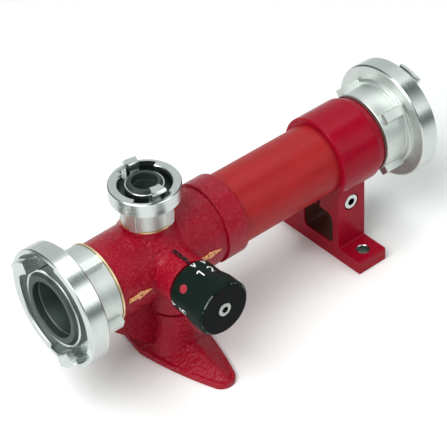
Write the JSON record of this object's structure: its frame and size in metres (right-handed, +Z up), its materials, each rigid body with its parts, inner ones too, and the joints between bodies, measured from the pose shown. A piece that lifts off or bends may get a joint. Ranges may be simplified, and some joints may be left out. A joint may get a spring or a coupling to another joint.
{
  "type": "foam inductor",
  "caption": "In-line foam inductor: red cast jet body on a pointed foot, claw couplings at inlet, outlet and top, numbered metering dial, diffuser tube on a clamp bracket.",
  "frame": {"origin": "midway between the rear bracket's two foot holes, on the base plane", "axes": "+X along the flow from inlet to outlet, +Z up from the base plane, the dial faces -Y"},
  "size_m": [0.3666, 0.1628, 0.1678],
  "materials": {
    "cast_red_enamel": "glossy red enamel over a rough sand casting",
    "tube_red_enamel": "satin red enamel over a smooth drawn tube",
    "turned_aluminium": "bright turned faces, matte cast hub",
    "black_rubber": "moulded, matte",
    "dark_fibre": "pressed gasket sheet, matte",
    "copper_gasket": "soft copper, dull",
    "black_dial_plastic": "moulded, satin",
    "plated_steel": "zinc plated",
    "bored_brass": "machined"
  },
  "bodies": {
    "housing": {"injector_body": "cast_red_enamel", "outlet_bracket": "cast_red_enamel", "outer_tube": "tube_red_enamel", "inlet_coupling": "turned_aluminium", "outlet_coupling": "turned_aluminium", "suction_coupling": "turned_aluminium", "inlet_seal": "black_rubber", "outlet_seal": "black_rubber", "suction_seal": "black_rubber", "outlet_gasket": "dark_fibre", "inlet_gasket": "copper_gasket", "suction_gasket": "copper_gasket", "nozzle_seal": "black_rubber", "tube_gasket": "dark_fibre", "clamp_screw": "plated_steel", "stop_pin": "plated_steel", "water_nozzle": "turned_aluminium", "diffuser": "turned_aluminium", "valve_seat": "turned_aluminium", "ball_cage": "turned_aluminium", "gland_nut": "bored_brass"},
    "dial": {"dial_knob": "black_dial_plastic", "knob_washer": "plated_steel", "knob_screw": "plated_steel", "metering_spindle": "bored_brass", "spindle_seals": "black_rubber"},
    "valve_ball": {"check_ball": "plated_steel"}
  },
  "joints": [
    {"name": "dial_turn", "type": "hinge", "parent": "housing", "child": "dial", "pos_m": [-0.1845, 0, 0.0922], "axis": [0, -1, 0], "range_deg": [-52, 260]},
    {"name": "ball_lift", "type": "slide", "parent": "housing", "child": "valve_ball", "axis": [0, 0, 1], "range_m": [0, 0.0055]}
  ]
}
